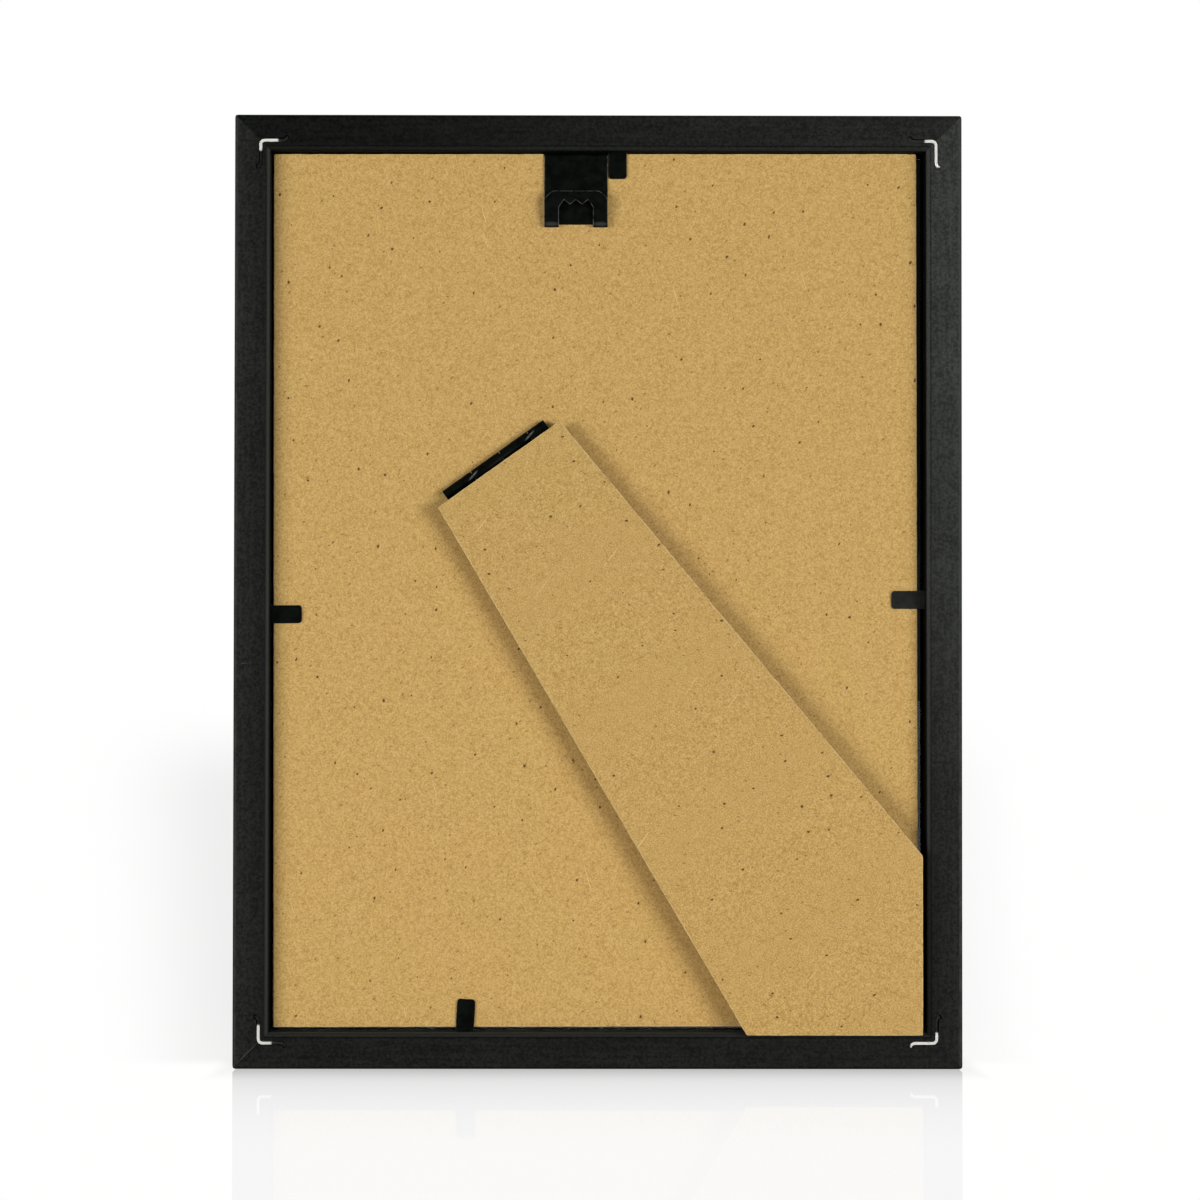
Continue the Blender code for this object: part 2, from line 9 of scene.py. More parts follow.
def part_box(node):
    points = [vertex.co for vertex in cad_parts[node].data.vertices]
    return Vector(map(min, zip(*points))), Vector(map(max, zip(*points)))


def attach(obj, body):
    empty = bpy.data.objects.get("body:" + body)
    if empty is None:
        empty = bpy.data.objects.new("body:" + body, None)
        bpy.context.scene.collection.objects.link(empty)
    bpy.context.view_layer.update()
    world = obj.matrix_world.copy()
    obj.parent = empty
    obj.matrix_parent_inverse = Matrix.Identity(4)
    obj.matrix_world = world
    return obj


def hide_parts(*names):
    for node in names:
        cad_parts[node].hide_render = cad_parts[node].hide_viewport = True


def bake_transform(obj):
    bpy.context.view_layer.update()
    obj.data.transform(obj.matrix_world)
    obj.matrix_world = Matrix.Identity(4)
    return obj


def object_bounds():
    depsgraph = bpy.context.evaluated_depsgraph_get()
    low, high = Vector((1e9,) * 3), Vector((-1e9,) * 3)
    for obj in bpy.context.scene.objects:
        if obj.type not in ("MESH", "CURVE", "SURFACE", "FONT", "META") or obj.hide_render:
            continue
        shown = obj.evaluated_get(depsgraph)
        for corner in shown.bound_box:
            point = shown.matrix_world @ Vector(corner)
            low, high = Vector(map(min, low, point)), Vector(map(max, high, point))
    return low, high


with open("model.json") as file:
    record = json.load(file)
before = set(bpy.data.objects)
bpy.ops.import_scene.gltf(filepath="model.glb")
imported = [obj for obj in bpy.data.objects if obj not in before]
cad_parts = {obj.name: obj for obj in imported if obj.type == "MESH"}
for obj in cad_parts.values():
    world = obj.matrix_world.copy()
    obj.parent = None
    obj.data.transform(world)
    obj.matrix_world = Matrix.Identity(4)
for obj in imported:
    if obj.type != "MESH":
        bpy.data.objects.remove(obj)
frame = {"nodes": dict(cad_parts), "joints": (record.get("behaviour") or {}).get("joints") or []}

cadLow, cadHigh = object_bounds()
nodes = frame["nodes"]
joints = {joint["name"]: joint for joint in frame["joints"]}
sides = ("top", "bottom", "left", "right")  # named from the front


# Shader helpers

def plug(tree, value, socket):
    if isinstance(value, bpy.types.NodeSocket):
        tree.links.new(value, socket)
    else:
        socket.default_value = value


def addNode(tree, kind, sockets=None, **choices):
    node = tree.nodes.new(kind)
    for choice, value in choices.items():
        setattr(node, choice, value)
    for name, value in (sockets or {}).items():
        plug(tree, value, node.inputs[name])
    return node


def combine(tree, operation, first, second=0.0):
    return addNode(tree, "ShaderNodeMath", {0: first, 1: second}, operation=operation).outputs[0]


def times(tree, first, second):
    return combine(tree, "MULTIPLY", first, second)


def shared(tree, first, firstShare, second, secondShare):
    return combine(tree, "ADD", times(tree, first, firstShare), times(tree, second, secondShare))


def vectorMath(tree, operation, first, second):
    return addNode(tree, "ShaderNodeVectorMath", {0: first, 1: second}, operation=operation).outputs[0]


def separate(tree, vector):
    return addNode(tree, "ShaderNodeSeparateXYZ", {0: vector}).outputs


def stepUp(tree, value, low, high, bottom=0.0, top=1.0):
    sockets = {"Value": value, "From Min": low, "From Max": high, "To Min": bottom, "To Max": top}
    return addNode(tree, "ShaderNodeMapRange", sockets, interpolation_type="SMOOTHSTEP").outputs["Result"]


def mixColour(tree, factor, first, second, blend="MIX"):
    sockets = {0: factor, 6: first, 7: second}  # factor, A and B of a colour mix
    return addNode(tree, "ShaderNodeMix", sockets, data_type="RGBA", blend_type=blend).outputs[2]


def overlay(tree, colour, mask, amount, top):
    return mixColour(tree, times(tree, mask, amount), colour, top)


def stretched(tree, vector, scale, turn=0.0, shift=(0, 0, 0)):
    # turned about Y first, then stretched along the turned axes
    turned = addNode(tree, "ShaderNodeMapping", {"Vector": vector, "Rotation": (0, math.radians(turn), 0)})
    sockets = {"Vector": turned.outputs["Vector"], "Location": shift, "Scale": scale}
    return addNode(tree, "ShaderNodeMapping", sockets).outputs["Vector"]


def cloud(tree, vector, scale, detail=2.0, roughness=0.5):
    sockets = {"Vector": vector, "Scale": scale, "Detail": detail, "Roughness": roughness}
    return addNode(tree, "ShaderNodeTexNoise", sockets).outputs["Fac"]


def newGroup(name, inputs, outputs):
    group = bpy.data.node_groups.new(name, "ShaderNodeTree")
    for label, kind, value in inputs:
        socket = group.interface.new_socket(label, in_out="INPUT", socket_type="NodeSocket" + kind)
        socket.default_value = value
    for label, kind in outputs:
        group.interface.new_socket(label, in_out="OUTPUT", socket_type="NodeSocket" + kind)
    return group, group.nodes.new("NodeGroupInput").outputs, group.nodes.new("NodeGroupOutput").inputs


def useGroup(tree, group, **sockets):
    node = tree.nodes.new("ShaderNodeGroup")
    node.node_tree = group
    for name, value in sockets.items():
        plug(tree, value, node.inputs[name.capitalize()])
    return node.outputs


def newMaterial(name, plain):
    material = bpy.data.materials.new(name)
    material.use_nodes = True
    tree = material.node_tree
    shader = tree.nodes["Principled BSDF"]
    for label, value in plain.items():
        shader.inputs[label].default_value = value
    return material, tree, shader.inputs


def objectCoords(tree):
    return addNode(tree, "ShaderNodeTexCoord").outputs["Object"]


def readMask(tree, name):
    return addNode(tree, "ShaderNodeAttribute", attribute_name=name).outputs["Fac"]


def addBump(tree, shader, height, strength, distance):
    bump = addNode(tree, "ShaderNodeBump", {"Height": height, "Strength": strength, "Distance": distance})
    plug(tree, bump.outputs["Normal"], shader["Normal"])


# Specks: a few cells of a cell pattern hold a small soft spot each, in space or in the frame's plane only

speckShape = {"bendScale": 900.0, "bend": 0.0006, "radii": (0.45, 1.25), "core": 0.60}


def makeSpecksGroup(name, inPlane):
    inputs = (("Vector", "Vector", (0, 0, 0)), ("Scale", "Float", 150.0),
              ("Radius", "Float", 0.05), ("Share", "Float", 0.5))
    group, given, result = newGroup(name, inputs, (("Mask", "Float"),))
    sockets = {"Vector": given["Vector"], "Scale": speckShape["bendScale"], "Detail": 1.0}
    bend = addNode(group, "ShaderNodeTexNoise", sockets).outputs["Color"]
    bend = vectorMath(group, "SUBTRACT", bend, (0.5, 0.5, 0.5))  # the middle of the noise
    sockets = {0: bend, "Scale": speckShape["bend"]}
    bend = addNode(group, "ShaderNodeVectorMath", sockets, operation="SCALE").outputs[0]
    place = vectorMath(group, "ADD", given["Vector"], bend)
    if inPlane:
        parts = separate(group, place)
        place = addNode(group, "ShaderNodeCombineXYZ", {"X": parts["X"], "Y": parts["Z"]}).outputs[0]
    cells = addNode(group, "ShaderNodeTexVoronoi", {"Vector": place, "Scale": given["Scale"]},
                    voronoi_dimensions="2D" if inPlane else "3D")
    chance = addNode(group, "ShaderNodeSeparateColor", {"Color": cells.outputs["Color"]}).outputs
    radius = times(group, given["Radius"], stepUp(group, chance["Green"], 0.0, 1.0, *speckShape["radii"]))
    inner = times(group, radius, speckShape["core"])
    spot = stepUp(group, cells.outputs["Distance"], radius, inner)
    chosen = combine(group, "LESS_THAN", chance["Red"], given["Share"])
    plug(group, times(group, spot, chosen), result["Mask"])
    return group


# Wear and painted edge highlight: the mask of the bevelled edges, broken up by a cloud; it paints wear on
# steel and sawn edges, and painted highlights on the rails' outer edges

edgeWearAndHighlightShape = {"detail": 3.0, "roughness": 0.6, "patches": (0.32, 0.62)}


def makeEdgeWearAndHighlightGroup():
    inputs = (("Vector", "Vector", (0, 0, 0)), ("Edge", "Float", 0.0),
              ("Size", "Float", 400.0), ("Amount", "Float", 1.0))
    group, given, result = newGroup("edgeWearAndHighlight", inputs, (("Mask", "Float"),))
    patches = cloud(group, given["Vector"], given["Size"], edgeWearAndHighlightShape["detail"], edgeWearAndHighlightShape["roughness"])
    rubbedAndHighlit = times(group, stepUp(group, patches, *edgeWearAndHighlightShape["patches"]), given["Edge"])
    plug(group, times(group, rubbedAndHighlit, given["Amount"]), result["Mask"])
    return group


# Scuff and painted glint: one soft oval mark at a place, turned about Y, used for real marks and for painted
# highlights

scuffAndGlintFade = {"rim": 1.0, "core": 0.3}


def makeScuffAndGlintGroup():
    inputs = (("Vector", "Vector", (0, 0, 0)), ("Place", "Vector", (0, 0, 0)), ("Turn", "Float", 0.0),
              ("Size", "Vector", (0.001, 0.001, 0.001)))
    group, given, result = newGroup("scuffAndGlint", inputs, (("Mask", "Float"),))
    sockets = {"Vector": given["Vector"], "Center": given["Place"], "Angle": given["Turn"]}
    turned = addNode(group, "ShaderNodeVectorRotate", sockets, rotation_type="Y_AXIS").outputs[0]
    away = vectorMath(group, "SUBTRACT", turned, given["Place"])
    away = vectorMath(group, "DIVIDE", away, given["Size"])
    far = addNode(group, "ShaderNodeVectorMath", {0: away}, operation="LENGTH").outputs["Value"]
    plug(group, stepUp(group, far, scuffAndGlintFade["rim"], scuffAndGlintFade["core"]), result["Mask"])
    return group


specks = makeSpecksGroup("specks", False)
planeSpecks = makeSpecksGroup("planeSpecks", True)
edgeWearAndHighlight = makeEdgeWearAndHighlightGroup()
scuffAndGlint = makeScuffAndGlintGroup()


def addMarks(tree, vector, colour, marks, top):
    for mark in marks:
        spot = useGroup(tree, scuffAndGlint, vector=vector, place=mark["place"],
                        turn=mark["turn"], size=mark["size"])["Mask"]
        colour = overlay(tree, colour, spot, mark["amount"], top)
    return colour


# Fibreboard: pressed fibres, dark flecks, a few long pale fibres, and painted light that makes it brighter
# towards the foot
# In the looks a cloud is its scale, detail and roughness, a range its two ends and any values set there

fibreLook = {
    "base": (0.545, 0.350, 0.118, 1), "green": (0.541, 0.355, 0.117, 1), "dark": (0.370, 0.212, 0.052, 1),
    "light": (0.715, 0.505, 0.220, 1), "fleck": (0.105, 0.056, 0.017, 1), "hair": (0.740, 0.560, 0.270, 1),
    "burr": (0.80, 0.61, 0.32, 1),
    "driftCloud": (28.0, 2.0, 0.5), "driftRange": (0.35, 0.65),
    "mottleCloud": (420.0, 3.0, 0.6), "mottleShare": 0.14,
    "grainCloud": (2500.0, 2.0, 0.6), "grainShare": 0.86,
    "darkRange": (0.52, 0.28), "darkDepth": 0.85, "lightRange": (0.48, 0.72), "lightDepth": 0.60,
    "strandAngles": (12, 57, 101, 148), "strandSize": (320.0, 320.0, 2300.0), "strandShift": (7.3, 0, 3.1),
    "strandDetail": 1.5, "strandHeight": 0.5,
    "strandLight": (0.63, 0.74, 0.0, 0.20), "strandDark": (0.36, 0.25, 0.0, 0.60),
    "hairSize": (55.0, 55.0, 1500.0), "hairTurn": 75, "hairShift": (1.7, 0, 9.1), "hairDetail": 1.0,
    "hairRange": (0.765, 0.80, 0.0, 0.55),
    "flecks": (
        {"stretch": (1.0, 1.0, 0.7), "turn": 25, "shift": (0, 0, 0),
         "scale": 150.0, "radius": 0.047, "share": 0.46, "amount": 0.95},
        {"stretch": (0.55, 1.0, 1.0), "turn": -35, "shift": (0.3, 0, 0.2),
         "scale": 330.0, "radius": 0.076, "share": 0.50, "amount": 0.50},
    ),
    # the foot settings paint light: the board is painted brighter towards the foot
    "burrSize": 700.0, "burrAmount": 0.75, "paintedLightGone": 0.26, "paintedLightFull": 0.0, "paintedFootLight": 1.09,
    "specular": 0.12, "roughRange": (0.4, 1.6, 0.92, 0.72), "bump": (0.35, 0.00012),
}


def makeFibreGroup(look):
    inputs = (("Vector", "Vector", (0, 0, 0)), ("Depth", "Float", 1.0))
    group, given, result = newGroup("fibreboard", inputs, (("Color", "Color"), ("Height", "Float")))
    vector = given["Vector"]
    lightDepth = times(group, given["Depth"], look["lightDepth"])
    darkDepth = times(group, given["Depth"], look["darkDepth"])
    drift = stepUp(group, cloud(group, vector, *look["driftCloud"]), *look["driftRange"])
    colour = mixColour(group, drift, look["base"], look["green"])
    mottle = cloud(group, vector, *look["mottleCloud"])
    grain = cloud(group, vector, *look["grainCloud"])
    tone = shared(group, mottle, look["mottleShare"], grain, look["grainShare"])
    darker = stepUp(group, tone, *look["darkRange"], 0.0, darkDepth)
    colour = mixColour(group, darker, colour, look["dark"])
    lighter = stepUp(group, tone, *look["lightRange"], 0.0, lightDepth)
    colour = mixColour(group, lighter, colour, look["light"])
    height = tone
    for number, angle in enumerate(look["strandAngles"]):
        shift = [number * part for part in look["strandShift"]]
        placed = stretched(group, vector, look["strandSize"], angle, shift)
        strand = cloud(group, placed, 1.0, look["strandDetail"])
        colour = mixColour(group, stepUp(group, strand, *look["strandLight"]), colour, look["light"])
        colour = mixColour(group, stepUp(group, strand, *look["strandDark"]), colour, look["dark"])
        if number % 2:  # every other direction also stands up
            height = combine(group, "ADD", height, times(group, strand, look["strandHeight"]))
    placed = stretched(group, vector, look["hairSize"], look["hairTurn"], look["hairShift"])
    hair = cloud(group, placed, 1.0, look["hairDetail"])
    colour = mixColour(group, stepUp(group, hair, *look["hairRange"]), colour, look["hair"])
    for fleck in look["flecks"]:
        placed = stretched(group, vector, fleck["stretch"], fleck["turn"], fleck["shift"])
        spots = useGroup(group, planeSpecks, vector=placed, scale=fleck["scale"],
                         radius=fleck["radius"], share=fleck["share"])["Mask"]
        colour = overlay(group, colour, spots, fleck["amount"], look["fleck"])
    plug(group, colour, result["Color"])
    plug(group, height, result["Height"])
    return group


fibreGroup = makeFibreGroup(fibreLook)


def fibreMaterial(name, tint, depth, turn, shift):
    look = fibreLook
    material, tree, shader = newMaterial(name, {"Specular IOR Level": look["specular"]})
    vector = stretched(tree, objectCoords(tree), (1, 1, 1), turn, shift)
    fibres = useGroup(tree, fibreGroup, vector=vector, depth=depth)
    burr = useGroup(tree, edgeWearAndHighlight, vector=vector, edge=readMask(tree, "edge"),
                    size=look["burrSize"], amount=look["burrAmount"])["Mask"]
    height = separate(tree, objectCoords(tree))["Z"]
    paintedLightFull = stepUp(tree, height, look["paintedLightGone"], look["paintedLightFull"])  # painted light: brighter towards the foot
    paintedFootLight = [look["paintedFootLight"] * part for part in tint[:3]] + [1]
    tint = mixColour(tree, paintedLightFull, tint, paintedFootLight)
    colour = mixColour(tree, 1.0, fibres["Color"], tint, "MULTIPLY")
    colour = mixColour(tree, burr, colour, look["burr"])
    plug(tree, colour, shader["Base Color"])
    plug(tree, stepUp(tree, fibres["Height"], *look["roughRange"]), shader["Roughness"])
    addBump(tree, shader, fibres["Height"], *look["bump"])
    return material


# Black wrap on the rails: fine pores, some lines along each rail, painted highlight strips where the section
# is rounded, painted shade on the rebate's wall and in a groove, and a painted sheen that differs from rail
# to rail

wrapLook = {
    # deep also paints shade on the rebate's wall and in the groove, rubbed is a painted highlight, haze a
    # painted sheen
    "deep": (0.0010, 0.0012, 0.0009, 1), "raised": (0.0069, 0.0081, 0.0069, 1),
    "rubbedAndHighlit": (0.037, 0.041, 0.035, 1), "hazeAndSheen": (0.058, 0.061, 0.055, 1), "dust": (0.10, 0.10, 0.095, 1),
    "lineSize": (60.0, 1100.0, 1100.0), "lineCloud": (1.0, 3.0, 0.6), "lineShare": 0.3,
    "poreCloud": (1500.0, 2.0, 0.6), "poreShare": 0.7, "toneRange": (0.30, 0.70),
    "outerStrip": 0.0012, "groove": (0.0083, 0.0086, 0.0086, 0.0089), "grooveDepth": 0.7,
    "innerStrip": (0.0087, 0.0091, 0.0095, 0.0099), "wall": (0.0097, 0.0099), "wallRough": 0.9,
    "behind": (0.003, 0.005), "faceEnd": 0.0085, "level": (0.1, -0.1), "upright": (0.03, 0.21),
    "hazeAndSheenCloud": (55.0, 3.0, 0.6), "hazeAndSheenRange": (0.2, 0.8, 0.8, 1.2), "hazeAndSheenOnPores": (0.0, 1.0, 0.6, 1.4),
    "rubAndHighlightSize": 160.0, "dustSpecks": {"scale": 170.0, "radius": 0.022, "share": 0.35}, "dustAmount": 0.5,
    "specular": 0.08, "roughRange": (0.0, 1.0, 0.40, 0.54), "bump": (0.18, 0.00006),
}


def makeWrapGroup(look):
    inputs = (("Vector", "Vector", (0, 0, 0)),)
    group, given, result = newGroup("wrapGrain", inputs, (("Tone", "Float"), ("Height", "Float")))
    lines = cloud(group, stretched(group, given["Vector"], look["lineSize"]), *look["lineCloud"])
    pores = cloud(group, given["Vector"], *look["poreCloud"])
    tone = shared(group, lines, look["lineShare"], pores, look["poreShare"])
    plug(group, stepUp(group, tone, *look["toneRange"]), result["Tone"])
    plug(group, tone, result["Height"])
    return group


# Strips: bands across the moulding for painted highlights and painted shade, read from each point's distance
# to the outer face

def makeStripsGroup(look):
    inputs = (("Vector", "Vector", (0, 0, 0)), ("Across", "Float", 0.0))
    outputs = (("Outer", "Float"), ("Groove", "Float"), ("Inner", "Float"), ("Wall", "Float"))
    group, given, result = newGroup("wrapStrips", inputs, outputs)
    behind = stepUp(group, separate(group, given["Vector"])["Y"], *look["behind"])
    across = given["Across"]
    bands = {"Outer": stepUp(group, across, look["outerStrip"], look["outerStrip"] / 2)}
    for label, (first, full, fading, last) in (("Groove", look["groove"]), ("Inner", look["innerStrip"])):
        rising = stepUp(group, across, first, full)
        bands[label] = times(group, rising, stepUp(group, across, last, fading))
    for label, band in bands.items():
        plug(group, times(group, band, behind), result[label])
    plug(group, stepUp(group, across, *look["wall"]), result["Wall"])
    return group


wrapGroup = makeWrapGroup(wrapLook)
stripsGroup = makeStripsGroup(wrapLook)


def wrapMaterial(name, turn, hazeAndSheen, drift, outer, inner, wall, marks=()):
    look = wrapLook
    material, tree, shader = newMaterial(name, {"Specular IOR Level": look["specular"]})
    vector = objectCoords(tree)
    across = readMask(tree, "across")
    grain = useGroup(tree, wrapGroup, vector=stretched(tree, vector, (1, 1, 1), turn))
    strips = useGroup(tree, stripsGroup, vector=vector, across=across)
    colour = mixColour(tree, grain["Tone"], look["deep"], look["raised"])
    cloudy = stepUp(tree, cloud(tree, vector, *look["hazeAndSheenCloud"]), *look["hazeAndSheenRange"])
    cloudy = times(tree, cloudy, stepUp(tree, grain["Tone"], *look["hazeAndSheenOnPores"]))
    along = separate(tree, vector)["Z" if turn else "X"]
    ends = look["upright" if turn else "level"]
    # painted sheen: the haze colour over the pores, set at each edge of the rail and drifting along it
    fading = stepUp(tree, across, 0.0, look["faceEnd"], *hazeAndSheen)
    fading = combine(tree, "ADD", fading, stepUp(tree, along, *ends, 0.0, drift))
    colour = overlay(tree, colour, cloudy, fading, look["hazeAndSheen"])
    # painted highlight on the rounded outer edge, broken up like wear
    rubbedAndHighlit = useGroup(tree, edgeWearAndHighlight, vector=vector, edge=strips["Outer"],
                      size=look["rubAndHighlightSize"], amount=outer)["Mask"]
    colour = mixColour(tree, rubbedAndHighlit, colour, look["rubbedAndHighlit"])
    # painted shade in the groove before the inner strip
    colour = overlay(tree, colour, strips["Groove"], look["grooveDepth"], look["deep"])
    # painted highlight on the rebate's rounded edge
    colour = overlay(tree, colour, strips["Inner"], inner, look["rubbedAndHighlit"])
    # painted shade on the rebate's wall; the bottom rail gets painted light there instead
    colour = mixColour(tree, strips["Wall"], colour, look[wall])
    dust = useGroup(tree, specks, vector=vector, **look["dustSpecks"])["Mask"]
    colour = overlay(tree, colour, dust, look["dustAmount"], look["dust"])
    plug(tree, addMarks(tree, vector, colour, marks, look["dust"]), shader["Base Color"])
    satin = stepUp(tree, grain["Tone"], *look["roughRange"])
    matt = times(tree, strips["Wall"], look["wallRough"])
    plug(tree, combine(tree, "MAXIMUM", satin, matt), shader["Roughness"])
    addBump(tree, shader, grain["Height"], *look["bump"])
    return material


# Black lacquered steel: worn bright along its edges, with painted highlights where marks are given

steelLook = {
    "lacquer": (0.0008, 0.0014, 0.0009, 1), "thin": (0.0024, 0.0044, 0.0028, 1),
    "bare": (0.090, 0.093, 0.085, 1), "dust": (0.040, 0.042, 0.038, 1), "hazeAndSheen": (0.030, 0.031, 0.028, 1),
    "glint": (0.42, 0.42, 0.40, 1),
    "patchCloud": (420.0, 4.0, 0.6), "thinRange": (0.38, 0.66),
    "hazeAndSheenRange": (0.2, 0.8), "hazeShares": (0.7, 1.3),
    "wearSize": 520.0, "dustSpecks": {"scale": 420.0, "radius": 0.07, "share": 0.4}, "dustAmount": 0.4,
    "specular": 0.045, "wornMetal": 0.3, "roughRange": (0.3, 0.7, 0.42, 0.56),
    "dimpleCloud": (1800.0, 2.0, 0.5), "bump": (0.12, 0.00005),
}


def steelMaterial(name, wear, hazeAndSheen=0.0, marks=()):
    look = steelLook
    material, tree, shader = newMaterial(name, {"Specular IOR Level": look["specular"]})
    vector = objectCoords(tree)
    patches = cloud(tree, vector, *look["patchCloud"])
    colour = mixColour(tree, stepUp(tree, patches, *look["thinRange"]), look["lacquer"], look["thin"])
    hazeEnds = [share * hazeAndSheen for share in look["hazeShares"]]
    colour = mixColour(tree, stepUp(tree, patches, *look["hazeAndSheenRange"], *hazeEnds), colour, look["hazeAndSheen"])
    worn = useGroup(tree, edgeWearAndHighlight, vector=vector, edge=readMask(tree, "edge"),
                    size=look["wearSize"], amount=wear)["Mask"]
    dust = useGroup(tree, specks, vector=vector, **look["dustSpecks"])["Mask"]
    colour = overlay(tree, colour, dust, look["dustAmount"], look["dust"])
    colour = mixColour(tree, worn, colour, look["bare"])
    # the marks on steel are painted highlights in the glint colour
    plug(tree, addMarks(tree, vector, colour, marks, look["glint"]), shader["Base Color"])
    plug(tree, times(tree, worn, look["wornMetal"]), shader["Metallic"])
    plug(tree, stepUp(tree, patches, *look["roughRange"]), shader["Roughness"])
    addBump(tree, shader, cloud(tree, vector, *look["dimpleCloud"]), *look["bump"])
    return material


# Zinc of the corner nails: bright where bare, black where the finish of the frame runs over it

zincLook = {
    "bright": (0.88, 0.87, 0.82, 1), "dull": (0.70, 0.69, 0.63, 1), "covered": (0.010, 0.010, 0.009, 1),
    "smearCloud": (650.0, 3.0, 0.6), "bareRange": (0.20, 0.32), "dullRange": (0.35, 0.70),
    "specular": 0.4, "bareMetal": 0.25, "roughRange": (0.3, 0.7, 0.30, 0.48),
}


def zincMaterial(name, look):
    material, tree, shader = newMaterial(name, {"Specular IOR Level": look["specular"]})
    smear = cloud(tree, objectCoords(tree), *look["smearCloud"])
    bare = times(tree, readMask(tree, "bare"), stepUp(tree, smear, *look["bareRange"]))
    zinc = mixColour(tree, stepUp(tree, smear, *look["dullRange"]), look["bright"], look["dull"])
    plug(tree, mixColour(tree, bare, look["covered"], zinc), shader["Base Color"])
    plug(tree, times(tree, bare, look["bareMetal"]), shader["Metallic"])
    plug(tree, stepUp(tree, smear, *look["roughRange"]), shader["Roughness"])
    return material


# Clear glass, faintly smeared

glassLook = {
    "green": (0.975, 0.992, 0.985, 1), "clear": (0.985, 0.996, 0.990, 1), "tintCloud": (12.0, 2.0, 0.5),
    "smearCloud": (35.0, 3.0, 0.5), "roughRange": (0.4, 0.8, 0.0, 0.035), "bending": 1.52,
}


def glassMaterial(name, look):
    material, tree, shader = newMaterial(name, {"Transmission Weight": 1.0, "IOR": look["bending"]})
    vector = objectCoords(tree)
    smear = cloud(tree, vector, *look["smearCloud"])
    plug(tree, stepUp(tree, smear, *look["roughRange"]), shader["Roughness"])
    tint = mixColour(tree, cloud(tree, vector, *look["tintCloud"]), look["green"], look["clear"])
    plug(tree, tint, shader["Base Color"])
    return material


# White paper of the insert

paperLook = {
    "hollow": (0.80, 0.795, 0.77, 1), "raised": (0.88, 0.875, 0.855, 1), "pulpCloud": (900.0, 4.0, 0.65),
    "pulpRange": (0.3, 0.7), "specular": 0.15, "rough": 0.9, "bump": (0.15, 0.00005),
}


def paperMaterial(name, look):
    plain = {"Specular IOR Level": look["specular"], "Roughness": look["rough"]}
    material, tree, shader = newMaterial(name, plain)
    pulp = cloud(tree, objectCoords(tree), *look["pulpCloud"])
    colour = mixColour(tree, stepUp(tree, pulp, *look["pulpRange"]), look["hollow"], look["raised"])
    plug(tree, colour, shader["Base Color"])
    addBump(tree, shader, pulp, *look["bump"])
    return material


# Marks: painted highlights at two knuckle joints of the hinge and a painted sheen streak along it, painted
# highlights on the folds of the clip's feet, a scratch on one rail and a pale mitre at one corner

glint = {"along": (0.0075, -0.0115), "lift": 0.0014, "slant": 14.0, "size": (0.0023, 0.0014, 0.00040),
         "amount": 0.28}
# a painted sheen streak along the hinge barrel
sheenStreak = {"along": -0.002, "towardsLeg": 0.0006, "size": (0.010, 0.0030, 0.00045), "amount": 0.05}
# painted highlights where the clip's feet fold
fold = {"inset": 0.0020, "rise": 0.0008, "size": (0.0030, 0.006, 0.0009), "amount": 0.075}
scratch = {"inset": 0.0028, "height": 0.111, "size": (0.0011, 0.001, 0.00016), "amount": 0.5}
mitre = {"inset": 0.0040, "slant": -45.0, "size": (0.0055, 0.001, 0.00022), "amount": 0.35}


def makeMark(look, place, turn=0.0):
    return {"place": place, "turn": turn, "size": look["size"], "amount": look["amount"]}


swing = joints["leg_swing"]
hingeMiddle = Vector(swing["pos_m"])
hingeAxis = Vector(swing["axis"]).normalized()
hingeTurn = math.atan2(hingeAxis.z, hingeAxis.x)
towardsLeg = hingeAxis.cross(Vector((0, -1, 0)))
hingeHighlights = []
for along in glint["along"]:
    glintPlace = hingeMiddle + hingeAxis * along + Vector((0, glint["lift"], 0))
    hingeHighlights.append(makeMark(glint, glintPlace, hingeTurn - math.radians(glint["slant"])))
sheenStreakPlace = hingeMiddle + hingeAxis * sheenStreak["along"] + towardsLeg * sheenStreak["towardsLeg"]
hingeHighlights.append(makeMark(sheenStreak, sheenStreakPlace, hingeTurn))

clipLow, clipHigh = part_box("hanger_clip")
foldHighlights = [makeMark(fold, (footX, clipHigh.y, clipLow.z + fold["rise"]))
             for footX in (clipLow.x + fold["inset"], clipHigh.x - fold["inset"])]

railLow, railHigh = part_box("rail_right")
railScratch = makeMark(scratch, (railHigh.x - scratch["inset"], railHigh.y, scratch["height"]))
mitrePlace = (railHigh.x - mitre["inset"], railHigh.y, railLow.z + mitre["inset"])
mitreLine = makeMark(mitre, mitrePlace, math.radians(mitre["slant"]))


# Finishes: haze is the painted sheen at a rail's outer and inner edge, drift the painted sheen added along
# the rail, outer and inner are how strong the painted highlight strips are, the outer one broken up like
# wear, wall names the painted shade from the rebate's edge inwards, which is painted light on the bottom rail

